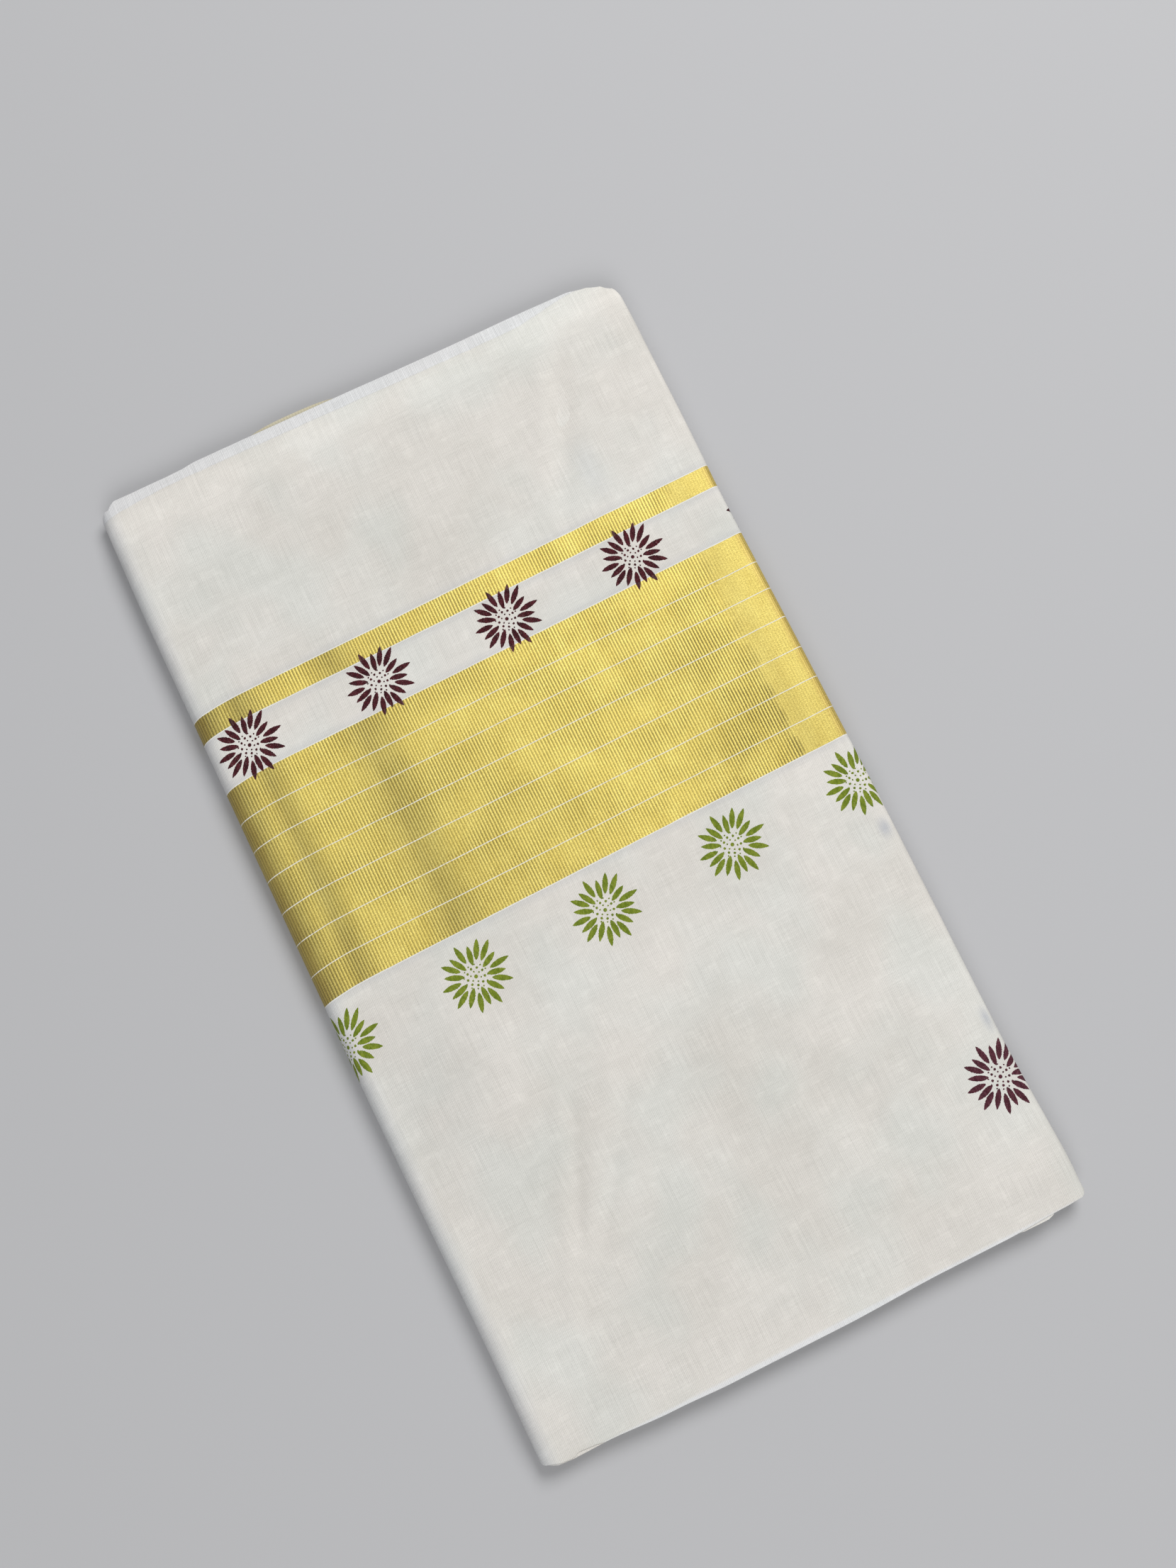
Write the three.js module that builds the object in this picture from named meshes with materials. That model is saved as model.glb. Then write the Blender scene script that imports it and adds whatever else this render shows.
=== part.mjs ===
// A kasavu saree folded into a flat pack: cream cotton with woven gold bands. Millimetres, +Z up.
// The cloth is plied back and forth along its length, then folded twice across its width.
// +Y points along the pack to its plain end, and the spine of the folds is on the left, at -X.
import * as THREE from 'three';
import { mergeVertices } from 'three/addons/utils/BufferGeometryUtils.js';

// Size of the pack
const WIDTH = 290; // a quarter of the cloth's 1.15 m width, and the turn of its folds
const LENGTH = 522; // a twelfth of the cloth's 6.25 m length
const THICK = 15; // forty-eight layers of fine cotton, lightly pressed

// Folds, seen from the end of the pack
const WALL = 1.2; // the outer plies that show
const GAP = 0.3; // between neighbouring pieces
const SPINE_RADIUS = THICK / 2; // the last fold, round the whole stack
const TURN_RADIUS = THICK / 4; // the first fold, round the upper half of the stack
const TUCK_DEPTH = 14; // how far the outer plies run into the middle of the pack
const SELVEDGE_IN = 1.5; // how far the woven edges, low on the right, stand in from the turn
const SPINE_X = -WIDTH / 2 + SPINE_RADIUS;
const TURN_X = WIDTH / 2 - TURN_RADIUS;
const CORE_DEPTH = WALL + GAP;

// Lengths of the outer ply's runs, along its path round the pack
const UNDER_RUN = WIDTH / 2 - SELVEDGE_IN - SPINE_X;
const SPINE_RUN = Math.PI * SPINE_RADIUS;
const TOP_RUN = TURN_X - SPINE_X;
const TURN_RUN = Math.PI * TURN_RADIUS;

// Woven lines across the cloth, as the height along +Y where each crosses the start of the top
const BAND_SLOPE = 0.0255; // the bands climb a little to the right, because the plies lie askew
const SPINE_DROOP = 2.5; // the weave sags where it bends over the spine
const DROOP_WIDTH = 16;
const BAND_LINES = {
  narrowTop: 139.1,
  narrowBottom: 126.9,
  broadTop: 99.9,
  broadBottom: -15.9,
};

// How far the outer ply's two end folds stand in from the pack's length, along the path:
// at is the distance along the top from the spine, and less than nothing round it.
const PLAIN_END = [
  { at: -305, back: 24 },
  { at: -298, back: 12 },
  { at: -286, back: 6 },
  { at: -240, back: 4 },
  { at: -23, back: 8 },
  { at: -11, back: 9 },
  { at: -4, back: 5 },
  { at: 3, back: 1.6 },
  { at: 45, back: 0.9 },
  { at: 130, back: 0.1 },
  { at: 200, back: 0 },
  { at: 250, back: 0.7 },
  { at: 268, back: 3 },
  { at: 277, back: 7 },
  { at: 283, back: 14 },
  { at: 289, back: 21 },
  { at: 304, back: 23 },
];
const FLOWER_END = [
  { at: -305, back: 5.5 },
  { at: -299, back: 2.6 },
  { at: -240, back: 2.2 },
  { at: -23, back: 7 },
  { at: -11, back: 8 },
  { at: -3, back: 4.2 },
  { at: 14, back: 1.8 },
  { at: 45, back: 0.7 },
  { at: 90, back: 0 },
  { at: 150, back: 0.1 },
  { at: 203, back: 1.4 },
  { at: 235, back: 0.6 },
  { at: 270, back: 1.2 },
  { at: 279, back: 2.4 },
  { at: 285, back: 7 },
  { at: 304, back: 10 },
];

// Hidden plies: bundles from the bottom up, and how far each one's edges stand in
const LOWER_BUNDLES = [
  { plain: 11.5, flower: 3.4, side: 2.4 },
  { plain: 9.6, flower: 2.1, side: 1.7 },
  { plain: 12.2, flower: 3.9, side: 2.9 },
];
const UPPER_BUNDLES = [
  { plain: 10.4, flower: 2.6, side: 0 },
  { plain: 9.4, flower: 1.9, side: 0 },
];
const FOLD_GROOVE = 0.9; // the dip between two bundles
const BULGE = { from: 0.3, to: 0.7 }; // the part of a bundle's height that stands furthest out
const CORNER = { plainRight: 17, flowerRight: 8, left: 8 };
const SLOT = { plain: 14, flower: 5.5, lean: 0.12 }; // its shelves slope a little inwards

// The deeper ply's gold edge that stands past the plain end
const GOLD_LIP = { left: -66, right: -4, past: 1.6, thick: 1, root: 9.1, round: 1.2, corners: 3.4 };

// How the pressed pack departs from a flat slab
const SWELL = { height: 0.45, along: 34, across: 88, shiftY: 31, shiftX: -26 };
const RIDGE = { height: 0.55, x: 96, lean: 0.06, width: 20 };
const CREASE = { height: -0.6, x: -70, y: -190, along: { x: 0.6, y: 0.8 }, width: 16, endsAt: 40, fade: 120 };
const PLAIN_FALL = { height: 3.2, reach: 31 };
const FLOWER_FALL = { height: 3.4, reach: 27 };
const DRAW_IN = { flower: 2.1, from: 40, reach: 200, plain: 1, plainFrom: 190, plainReach: 70 };
const RIGHT_WAVE = { size: 0.5, shift: 30, length: 60 };

const COTTON = 0xeeeadb;
const GOLD = 0xc9ac48;
const MERGED = 1e-4; // points nearer than this are one

function smooth(t) {
  const c = Math.min(1, Math.max(0, t));
  return c * c * (3 - 2 * c);
}

// A smooth line through a table of { at, back }.
function along(table, s) {
  let k = 0;
  while (k < table.length - 2 && s > table[k + 1].at) k += 1;
  const [a, b] = [table[k], table[k + 1]];
  return a.back + (b.back - a.back) * smooth((s - a.at) / (b.at - a.at));
}

function hump(distance, width) {
  return Math.exp(-((distance / width) ** 2));
}

// How far the top of the pack stands from its flat height: soft swells, a long ridge on the
// right, one slanting crease, and the two ends pressed down.
function rise(x, y) {
  const waveY = Math.sin((y + SWELL.shiftY) / SWELL.along);
  const waveX = Math.cos((x + SWELL.shiftX) / SWELL.across);
  const swell = SWELL.height * waveY * waveX;
  const ridge = RIDGE.height * hump(x - RIDGE.x + RIDGE.lean * y, RIDGE.width);
  const aside = (x - CREASE.x) * CREASE.along.y - (y - CREASE.y) * CREASE.along.x;
  const crease = CREASE.height * hump(aside, CREASE.width) * smooth((CREASE.endsAt - y) / CREASE.fade);
  const plainFall = PLAIN_FALL.height * smooth((y - LENGTH / 2) / PLAIN_FALL.reach + 1);
  const flowerFall = FLOWER_FALL.height * smooth((-y - LENGTH / 2) / FLOWER_FALL.reach + 1);
  return swell + ridge + crease - plainFall - flowerFall;
}

// The sides are not quite straight: the left edge draws in at both ends.
function sideways(x, y) {
  const toFlowers = DRAW_IN.flower * smooth((-y - DRAW_IN.from) / DRAW_IN.reach);
  const toPlain = DRAW_IN.plain * smooth((y - DRAW_IN.plainFrom) / DRAW_IN.plainReach);
  const right = RIGHT_WAVE.size * Math.cos((y + RIGHT_WAVE.shift) / RIGHT_WAVE.length);
  const share = x / WIDTH + 0.5;
  return (toFlowers + toPlain) * (1 - share) + right * share;
}

// A point of the flat pack, settled into the pack's real form; the underside stays flat.
function settled(x, y, z) {
  return new THREE.Vector3(x + sideways(x, y), y, z + (rise(x, y) * z) / THICK);
}

// The outer ply's path round the pack, at a depth inside its surface, as { x, z }.
function onPath(s, depth) {
  if (s < -SPINE_RUN) return { x: SPINE_X - SPINE_RUN - s, z: depth };
  if (s < 0) {
    const turn = Math.PI + (s / SPINE_RUN) * Math.PI;
    const r = SPINE_RADIUS - depth;
    return { x: SPINE_X - r * Math.sin(turn), z: SPINE_RADIUS - r * Math.cos(turn) };
  }
  if (s < TOP_RUN) return { x: SPINE_X + s, z: THICK - depth };
  if (s < TOP_RUN + TURN_RUN) {
    const turn = ((s - TOP_RUN) / TURN_RUN) * Math.PI;
    const r = TURN_RADIUS - depth;
    return { x: TURN_X + r * Math.sin(turn), z: THICK - TURN_RADIUS + r * Math.cos(turn) };
  }
  return { x: TURN_X - (s - TOP_RUN - TURN_RUN), z: THICK / 2 + depth };
}

// Evenly spaced stations from a to b, without b.
function stations(a, b, count) {
  return Array.from({ length: count }, (_, i) => a + ((b - a) * i) / count);
}

// Distances from a fold's edge at which stations stand, closer together towards the edge
const NEAR_FOLD = [0, 1.5, 4.5, 9, 15, 22, 30];
const NEAR_SIDE = [0, 3, 9, 18, 34];

// Shares of a length, from 0 to 1: close together near an edge that asks for it, then even.
function shares(length, count, lowEdge, highEdge) {
  const low = lowEdge.map((distance) => distance / length);
  const high = highEdge.map((distance) => 1 - distance / length).reverse();
  const from = low.length ? low[low.length - 1] : 0;
  const to = high.length ? high[0] : 1;
  return [...low.slice(0, -1), ...stations(from, to, count), to, ...high.slice(1)];
}

// Stations along the outer ply's path
const UNDER_SHARES = shares(UNDER_RUN, 3, NEAR_SIDE, []);
const GIRTH = [
  ...UNDER_SHARES.slice(0, -1).map((share) => -SPINE_RUN - UNDER_RUN * (1 - share)),
  ...stations(-SPINE_RUN, 0, 10),
  ...stations(0, TOP_RUN, 17),
  ...stations(TOP_RUN, TOP_RUN + TURN_RUN, 6),
  TOP_RUN + TURN_RUN,
  TOP_RUN + TURN_RUN + TUCK_DEPTH,
];

// Shares across and along the hidden plies
const ACROSS = shares(WIDTH, 9, NEAR_SIDE, NEAR_SIDE);
const ALONG = shares(LENGTH, 14, NEAR_FOLD, NEAR_FOLD);

function bandLine(base) {
  return (s) => base + BAND_SLOPE * s - SPINE_DROOP * hump(s + SPINE_RUN / 2, DROOP_WIDTH);
}

function plainEnd(s) {
  return LENGTH / 2 - along(PLAIN_END, s);
}

function flowerEnd(s) {
  return -LENGTH / 2 + along(FLOWER_END, s);
}

// A closed skin made of grids of points whose edges meet.
function skin(grids) {
  const flat = [];
  const add = (a, b, c) => {
    if (a.distanceTo(b) > MERGED && b.distanceTo(c) > MERGED && c.distanceTo(a) > MERGED) {
      flat.push(...a.toArray(), ...b.toArray(), ...c.toArray());
    }
  };
  for (const rows of grids) {
    for (let i = 0; i + 1 < rows.length; i += 1) {
      for (let j = 0; j + 1 < rows[i].length; j += 1) {
        add(rows[i][j], rows[i + 1][j], rows[i + 1][j + 1]);
        add(rows[i][j], rows[i + 1][j + 1], rows[i][j + 1]);
      }
    }
  }
  const made = new THREE.BufferGeometry();
  made.setAttribute('position', new THREE.Float32BufferAttribute(flat, 3));
  const merged = mergeVertices(made, MERGED);
  merged.computeVertexNormals();
  return merged;
}

// A closed skin over even rings, each capped across from its first point to its middle one.
function tube(rings) {
  const cap = (ring) => {
    const middle = ring.length / 2;
    const there = ring.slice(0, middle + 1);
    const back = [ring[0], ...ring.slice(middle).reverse()];
    return [there, back];
  };
  const round = rings.map((ring) => [...ring, ring[0]]);
  return skin([round, cap(rings[0]).reverse(), cap(rings[rings.length - 1])]);
}

// A ply's ring at one place along its path: out over the outer side from the low end, round the
// high end, and back along the inner side.
function plyRing(at, place, insets) {
  const last = at.length - 1;
  const share = (k) => at[k] + (k === 0 ? insets.low : 0) - (k === last ? insets.high : 0);
  const outer = at.map((_, k) => place(share(k), 0));
  const inner = at.map((_, k) => place(share(k), 1));
  return [place(0, 0.5), ...outer, place(1, 0.5), ...inner.reverse()];
}

// One stretch of the outer ply, between two lines across the cloth. An end that is a fold is
// rounded over, and an end that is woven on stands half a gap in from its line.
function stretch(low, high, count, { lowFold = false, highFold = false } = {}) {
  const length = high(0) - low(0);
  const at = shares(length, count, lowFold ? NEAR_FOLD : [], highFold ? NEAR_FOLD : []);
  const rings = GIRTH.map((s) => {
    const from = low(s) + (lowFold ? 0 : GAP / 2);
    const to = high(s) - (highFold ? 0 : GAP / 2);
    const rounding = WALL / 2 / (to - from);
    const place = (share, inward) => {
      const { x, z } = onPath(s, inward * WALL);
      return settled(x, from + (to - from) * share, z);
    };
    return plyRing(at, place, { low: lowFold ? rounding : 0, high: highFold ? rounding : 0 });
  });
  return tube(rings);
}

// The gold edge of a deeper ply, under the plain end's fold lip and a little past it.
function goldLip() {
  const bottom = THICK - WALL - GAP - GOLD_LIP.thick;
  const at = [0, 0.3, 0.6, 0.85, 1];
  const rings = [...stations(GOLD_LIP.left, GOLD_LIP.right, 14), GOLD_LIP.right].map((x) => {
    const across = (2 * (x - GOLD_LIP.left)) / (GOLD_LIP.right - GOLD_LIP.left) - 1;
    const tip = LENGTH / 2 + GOLD_LIP.past - GOLD_LIP.round * across ** 2 - GOLD_LIP.corners * across ** 4;
    const root = LENGTH / 2 - GOLD_LIP.root;
    const rounding = GOLD_LIP.thick / 2 / (tip - root);
    const place = (share, inward) =>
      settled(x, root + (tip - root) * share, bottom + GOLD_LIP.thick * (1 - inward));
    return plyRing(at, place, { low: rounding, high: rounding });
  });
  return tube(rings);
}

// The levels of the hidden plies from the bottom up. Each bundle bulges out between two grooves.
function bundleLevels(bundles, bottom, top) {
  const step = (top - bottom) / bundles.length;
  const levels = bundles.flatMap((bundle, k) => {
    const under = bundles[k - 1] ?? bundle;
    const groove = {
      plain: Math.max(bundle.plain, under.plain) + FOLD_GROOVE,
      flower: Math.max(bundle.flower, under.flower) + FOLD_GROOVE,
      side: Math.max(bundle.side, under.side) + FOLD_GROOVE,
    };
    const z = bottom + k * step;
    const bulge = [BULGE.from, BULGE.to].map((share) => ({ ...bundle, z: z + share * step }));
    return [{ ...groove, z }, ...bulge];
  });
  const last = bundles[bundles.length - 1];
  const closing = { plain: last.plain + FOLD_GROOVE, flower: last.flower + FOLD_GROOVE };
  return [...levels, { z: top, ...closing, side: last.side + FOLD_GROOVE }];
}

function coreLevels() {
  const spine = (z) => SPINE_X - Math.sqrt((SPINE_RADIUS - CORE_DEPTH) ** 2 - (z - SPINE_RADIUS) ** 2);
  const turn = (z) => {
    const reach = (TURN_RADIUS - CORE_DEPTH) ** 2 - (z - THICK + TURN_RADIUS) ** 2;
    return TURN_X + Math.sqrt(Math.max(0, reach));
  };
  const lowerTop = THICK / 2 - GAP;
  const upperBottom = THICK / 2 + CORE_DEPTH;
  const lower = bundleLevels(LOWER_BUNDLES, CORE_DEPTH, lowerTop).map((level) => ({
    ...level,
    right: WIDTH / 2 - SELVEDGE_IN - level.side,
  }));
  const upper = bundleLevels(UPPER_BUNDLES, upperBottom, THICK - CORE_DEPTH).map((level) => ({
    ...level,
    right: turn(level.z),
  }));
  const slot = { ...SLOT, right: TURN_X - TUCK_DEPTH - GAP };
  const slotLevels = [
    { ...slot, z: lowerTop + SLOT.lean },
    { ...slot, z: upperBottom - SLOT.lean },
  ];
  return [...lower, ...slotLevels, ...upper].map((level) => ({ ...level, left: spine(level.z) }));
}

// A point of a level's rounded outline, for shares across and along it.
function onLevel(level, across, up) {
  const [low, high] = [-LENGTH / 2 + level.flower, LENGTH / 2 - level.plain];
  const x = level.left + (level.right - level.left) * across;
  const y = low + (high - low) * up;
  const side = across > 0.5 ? 1 : -1;
  const end = up > 0.5 ? 1 : -1;
  const rightRadius = end > 0 ? CORNER.plainRight : CORNER.flowerRight;
  const radius = side > 0 ? rightRadius : CORNER.left;
  const centreX = (side > 0 ? level.right : level.left) - side * radius;
  const centreY = (end > 0 ? high : low) - end * radius;
  const u = Math.max(0, (side * (x - centreX)) / radius);
  const v = Math.max(0, (end * (y - centreY)) / radius);
  if (u === 0 || v === 0) return settled(x, y, level.z);
  // The corner's square is drawn in to a quarter of a disc.
  const roundX = centreX + side * radius * u * Math.sqrt(1 - (v * v) / 2);
  const roundY = centreY + end * radius * v * Math.sqrt(1 - (u * u) / 2);
  return settled(roundX, roundY, level.z);
}

// The hidden plies as one rounded solid: layered at both ends and along the selvedge, round at
// the spine, and open on the right where the outer ply runs in between its two halves.
function core() {
  const levels = coreLevels();
  const grid = (level) => ACROSS.map((across) => ALONG.map((up) => onLevel(level, across, up)));
  const outline = (level) => {
    const rows = grid(level);
    const right = rows[rows.length - 1];
    const end = right.length - 1;
    return [
      ...rows.map((row) => row[0]),
      ...right.slice(1),
      ...rows.map((row) => row[end]).reverse().slice(1),
      ...rows[0].slice().reverse().slice(1),
    ];
  };
  const top = grid(levels[levels.length - 1]);
  const bottom = grid(levels[0]).reverse();
  return skin([levels.map(outline).reverse(), top, bottom]);
}

const narrowTop = bandLine(BAND_LINES.narrowTop);
const narrowBottom = bandLine(BAND_LINES.narrowBottom);
const broadTop = bandLine(BAND_LINES.broadTop);
const broadBottom = bandLine(BAND_LINES.broadBottom);

const cotton = { color: COTTON, roughness: 0.9, metalness: 0 };
const gold = { color: GOLD, roughness: 0.42, metalness: 0.55 };

const group = new THREE.Group();

function add(name, shape, look) {
  const mesh = new THREE.Mesh(shape, new THREE.MeshStandardMaterial(look));
  mesh.name = name;
  group.add(mesh);
}

add('end_field', stretch(narrowTop, plainEnd, 5, { highFold: true }), cotton);
add('narrow_zari', stretch(narrowBottom, narrowTop, 1), gold);
add('motif_strip', stretch(broadTop, narrowBottom, 2), cotton);
add('broad_zari', stretch(broadBottom, broadTop, 7), gold);
add('body_field', stretch(flowerEnd, broadBottom, 11, { lowFold: true }), cotton);
add('tucked_zari', goldLip(), gold);
add('folded_core', core(), cotton);

// The origin is the middle of the pack's underside.
const middle = new THREE.Box3().setFromObject(group).getCenter(new THREE.Vector3());
for (const mesh of group.children) mesh.geometry.translate(-middle.x, -middle.y, 0);

export default group;
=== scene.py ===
import math

import bmesh
import bpy
from mathutils import Matrix, Vector, noise


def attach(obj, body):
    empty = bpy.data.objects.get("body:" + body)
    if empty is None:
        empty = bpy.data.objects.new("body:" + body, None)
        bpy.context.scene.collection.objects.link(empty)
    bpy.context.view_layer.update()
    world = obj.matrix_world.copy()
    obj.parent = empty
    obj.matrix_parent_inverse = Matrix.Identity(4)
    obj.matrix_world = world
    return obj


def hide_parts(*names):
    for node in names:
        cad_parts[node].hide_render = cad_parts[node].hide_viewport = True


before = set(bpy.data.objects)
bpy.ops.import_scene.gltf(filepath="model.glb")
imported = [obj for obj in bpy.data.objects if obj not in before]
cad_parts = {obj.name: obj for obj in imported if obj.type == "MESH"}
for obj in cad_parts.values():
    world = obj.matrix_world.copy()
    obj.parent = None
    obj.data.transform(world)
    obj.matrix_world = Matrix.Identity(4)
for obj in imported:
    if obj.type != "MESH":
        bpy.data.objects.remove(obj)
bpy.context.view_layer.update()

# A kasavu saree folded flat: plied along its length, then folded twice across its width. Sizes are
# in millimetres. X runs across the pack from the spine of the folds, Y along it to the plain end.
MM = 0.001
WIDTH = 290
LENGTH = 522
THICK = 15
CLOTH = 0.22
PLY_PITCH = 0.31  # from one ply to the next one in
PLIES = 12
SPINE_RADIUS = THICK / 2
TURN_RADIUS = THICK / 4
LEAST_RADIUS = 0.05  # of the innermost ply at the open side's turn
TUCK_DEPTH = 14
SELVEDGE_IN = 1.5
SPINE_X = -WIDTH / 2 + SPINE_RADIUS
TURN_X = WIDTH / 2 - TURN_RADIUS
CENTRE = (0.25, 0.80)  # the middle of the pack's box, where the part's origin is

# The camera, at the photograph's angle: where its eye is, in metres, and how it is turned
PHOTO_HEIGHT = 2212
PHOTO_FOCUS = 2740  # focal length, in the photograph's pixels
SENSOR = 36
eye = Vector((-0.0760, -0.1133, 0.9578))
right = (0.89879, -0.43764, 0.02554)
up = (0.42739, 0.88773, 0.17108)
back = (-0.09755, -0.14285, 0.98492)
camera = bpy.data.objects.new("camera", bpy.data.cameras.new("camera"))
camera.matrix_world = Matrix.Translation(eye) @ Matrix((right, up, back)).transposed().to_4x4()
camera.data.sensor_width = SENSOR
camera.data.lens = SENSOR * PHOTO_FOCUS / PHOTO_HEIGHT
camera.data.clip_start = 0.01
bpy.context.collection.objects.link(camera)
bpy.context.scene.camera = camera

# Lengths of the outer ply's runs round the pack, from the selvedge low on the right
UNDER_RUN = WIDTH / 2 - SELVEDGE_IN - SPINE_X
SPINE_RUN = math.pi * SPINE_RADIUS
TOP_RUN = TURN_X - SPINE_X
TURN_RUN = math.pi * TURN_RADIUS
SELVEDGE_S = -SPINE_RUN - UNDER_RUN
TUCK_S = TOP_RUN + TURN_RUN + TUCK_DEPTH

# The weave: heights along the cloth where each band begins, at the start of the top
BAND_SLOPE = 0.0255
SPINE_DROOP = 2.5  # how far the bands dip where they turn over the spine
DROOP_WIDTH = 16
NARROW_TOP, NARROW_BOTTOM = 139.1, 126.9
BROAD_TOP, BROAD_BOTTOM = 99.9, -15.9
WHITE_PICKS = (82.8, 67.6, 51.2, 33.9, 17.0, -0.1)
DENT = 0.8  # one dent of the reed; the gold ribs are two dents apart

# The printed flowers, as places on the cloth: s round the pack, v along it
MAROON_ROW = dict(s=13.5, v=113.9, pitch=71.0, drift=-0.3, size=17.9)
GREEN_ROW = dict(s=-5.5, v=-38.9, pitch=70.33, drift=0.0, size=18.3)
BODY_ROW = dict(s=271.8, v=-198.2, pitch=306.0, drift=0.0, size=18.9)
PETALS = 19
STAMP_TURN = math.radians(64)

# Stations round the pack for the outer ply: selvedge, underside, spine, top, turn, tuck
ROUND_STOPS = (
    SELVEDGE_S, SELVEDGE_S + 20, -SPINE_RUN - 6, -SPINE_RUN, 0, TOP_RUN, TOP_RUN + TURN_RUN, TUCK_S,
)
ROUND_STEPS = (2.5, 9, 3, 1.2, 2.2, 0.9, 3.5)

# How far the outer ply's end folds stand in from the pack's length, along its path
PLAIN_END = (
    (-305, 24), (-298, 12), (-286, 6), (-240, 4), (-23, 8), (-11, 9), (-4, 5.5), (3, 2.2), (30, 1.9),
    (38, 1.6), (48, 0.6), (75, 0.4), (130, 0.1), (200, 0), (242, -0.6), (256, -0.5), (266, 1.2),
    (273, 3.4), (279, 7.4), (284, 13), (290, 20), (304, 23),
)
FLOWER_END = (
    (-305, 5.5), (-299, 2.6), (-240, 2.2), (-23, 5.4), (-11, 5.2), (-5, 3.8), (3, 1.9), (8, 1.6),
    (10.5, 3.0), (20, 2.4), (24, 1.5), (60, 0), (90, -0.9), (150, -1.1), (203, 0.1), (235, 0.1),
    (270, 1.2), (279, 1.7), (285, 4.6), (304, 8),
)

# Soft creases pressed into the pack: from, to, depth and half width
CREASES = (
    dict(start=(101, 232), end=(66, 147), depth=1.3, width=6.0),
    dict(start=(96, 214), end=(88, 190), depth=0.6, width=7.0),
    dict(start=(-42, 213), end=(99, 200), depth=0.22, width=2.6),
    dict(start=(49, 206), end=(92, 199), depth=0.3, width=3.0),
    dict(start=(-15, 190), end=(38, 184), depth=0.2, width=3.0),
    dict(start=(-80, 229), end=(-77, 186), depth=0.3, width=7.0),
    dict(start=(-32, 206), end=(-28, 157), depth=0.34, width=5.0),
    dict(start=(-54, -102), end=(-99, -209), depth=1.3, width=3.8),
    dict(start=(-28, -112), end=(-88, -196), depth=1.35, width=4.6),
    dict(start=(-22, -98), end=(-40, -84), depth=0.3, width=5.0),
    dict(start=(33, -112), end=(84, -214), depth=1.3, width=11.0),
    dict(start=(8, -100), end=(44, -122), depth=0.5, width=7.0),
    dict(start=(64, -70), end=(92, -120), depth=0.4, width=8.0),
    dict(start=(-108, -29), end=(-97, -46), depth=0.22, width=3.0),
    dict(start=(-67, 122), end=(-69, -22), depth=0.5, width=8.0),
    dict(start=(-121, 90), end=(-120, -10), depth=0.24, width=3.4),
    dict(start=(109, 25), end=(107, -14), depth=0.3, width=3.4),
    dict(start=(115, 4), end=(117, -12), depth=0.35, width=2.4),
)


def smooth(t):
    t = min(1.0, max(0.0, t))
    return t * t * (3 - 2 * t)


def hump(distance, width):
    return math.exp(-((distance / width) ** 2))


def along(table, s):
    """A smooth line through a table of (place, value)."""
    for (a, low), (b, high) in zip(table, table[1:]):
        if s <= b:
            break
    return low + (high - low) * smooth((s - a) / (b - a))


def come_forward(x):
    """How far the deeper plies have come forward at the plain end, from none to all on the right."""
    return smooth((x - 65) / 55)


def thin_line(x):
    """Where the deeper plies end near the plain end, and only the outer ply runs on."""
    return LENGTH / 2 - 6.4 + 6.2 * come_forward(x) - 1.8 * smooth(1 - (x - SPINE_X) / 40)


def relief(x, y):
    """The fine, uneven relief of the pressed cloth: listed creases, and soft cockles."""
    height = -0.5 * smooth((y - thin_line(x)) / 2.5)
    for crease in CREASES:
        (ax, ay), (bx, by) = crease["start"], crease["end"]
        run = math.hypot(bx - ax, by - ay)
        ux, uy = (bx - ax) / run, (by - ay) / run
        down = (x - ax) * ux + (y - ay) * uy
        aside = (x - ax) * uy - (y - ay) * ux
        fade = smooth((down + 12) / 30) * smooth((run + 12 - down) / 30)
        width = crease["width"]
        valley = -hump(aside, width) + 0.45 * hump(aside - 1.7 * width, width)
        height += crease["depth"] * valley * fade
    gold = smooth((y + 30) / 12) * smooth((145 - y) / 12)
    height += 0.34 * noise.noise(Vector((x / 52, y / 86, 3.1)))
    height += 0.15 * (1 - 0.95 * gold) * noise.noise(Vector((x / 17, y / 40, 7.7)))
    height += 0.06 * (1 - gold) * noise.noise(Vector((x / 8, y / 12, 1.9)))
    return height


def rise(x, y):
    """How far the pack's top stands from its flat height, as in the solids."""
    swell = 0.45 * math.sin((y + 31) / 34) * math.cos((x - 26) / 88)
    ridge = 0.55 * hump(x - 96 + 0.06 * y, 20)
    aside = (x + 70) * 0.8 - (y + 190) * 0.6
    crease = -0.6 * hump(aside, 16) * smooth((40 - y) / 120)
    plain_fall = 3.2 * smooth((y - LENGTH / 2) / 31 + 1)
    flower_fall = 3.4 * smooth((-y - LENGTH / 2) / 27 + 1)
    return swell + ridge + crease - plain_fall - flower_fall


def sideways(x, y):
    """How far the sides draw in or stand out along the pack."""
    left = 2.1 * smooth((-y - 40) / 200) + smooth((y - 190) / 70)
    right = 0.5 * math.cos((y + 30) / 60) + 2.2 * smooth((-y - 170) / 80) + 0.9 * smooth((y - 120) / 60)
    share = x / WIDTH + 0.5
    return left * (1 - share) + right * share


def settled(x, y, z, fine=1.0, sink=0.0):
    """A point of the flat pack, settled into its real form, in metres in the part's frame.

    A hidden ply keeps no fine relief, and sinks below the creases of the ply that covers it."""
    edge = smooth((WIDTH / 2 - abs(x)) / 9)
    lift = rise(x, y) + edge * (fine * relief(x, y) + sink)
    return Vector((x + sideways(x, y) - CENTRE[0], y - CENTRE[1], z + lift * z / THICK)) * MM


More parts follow.
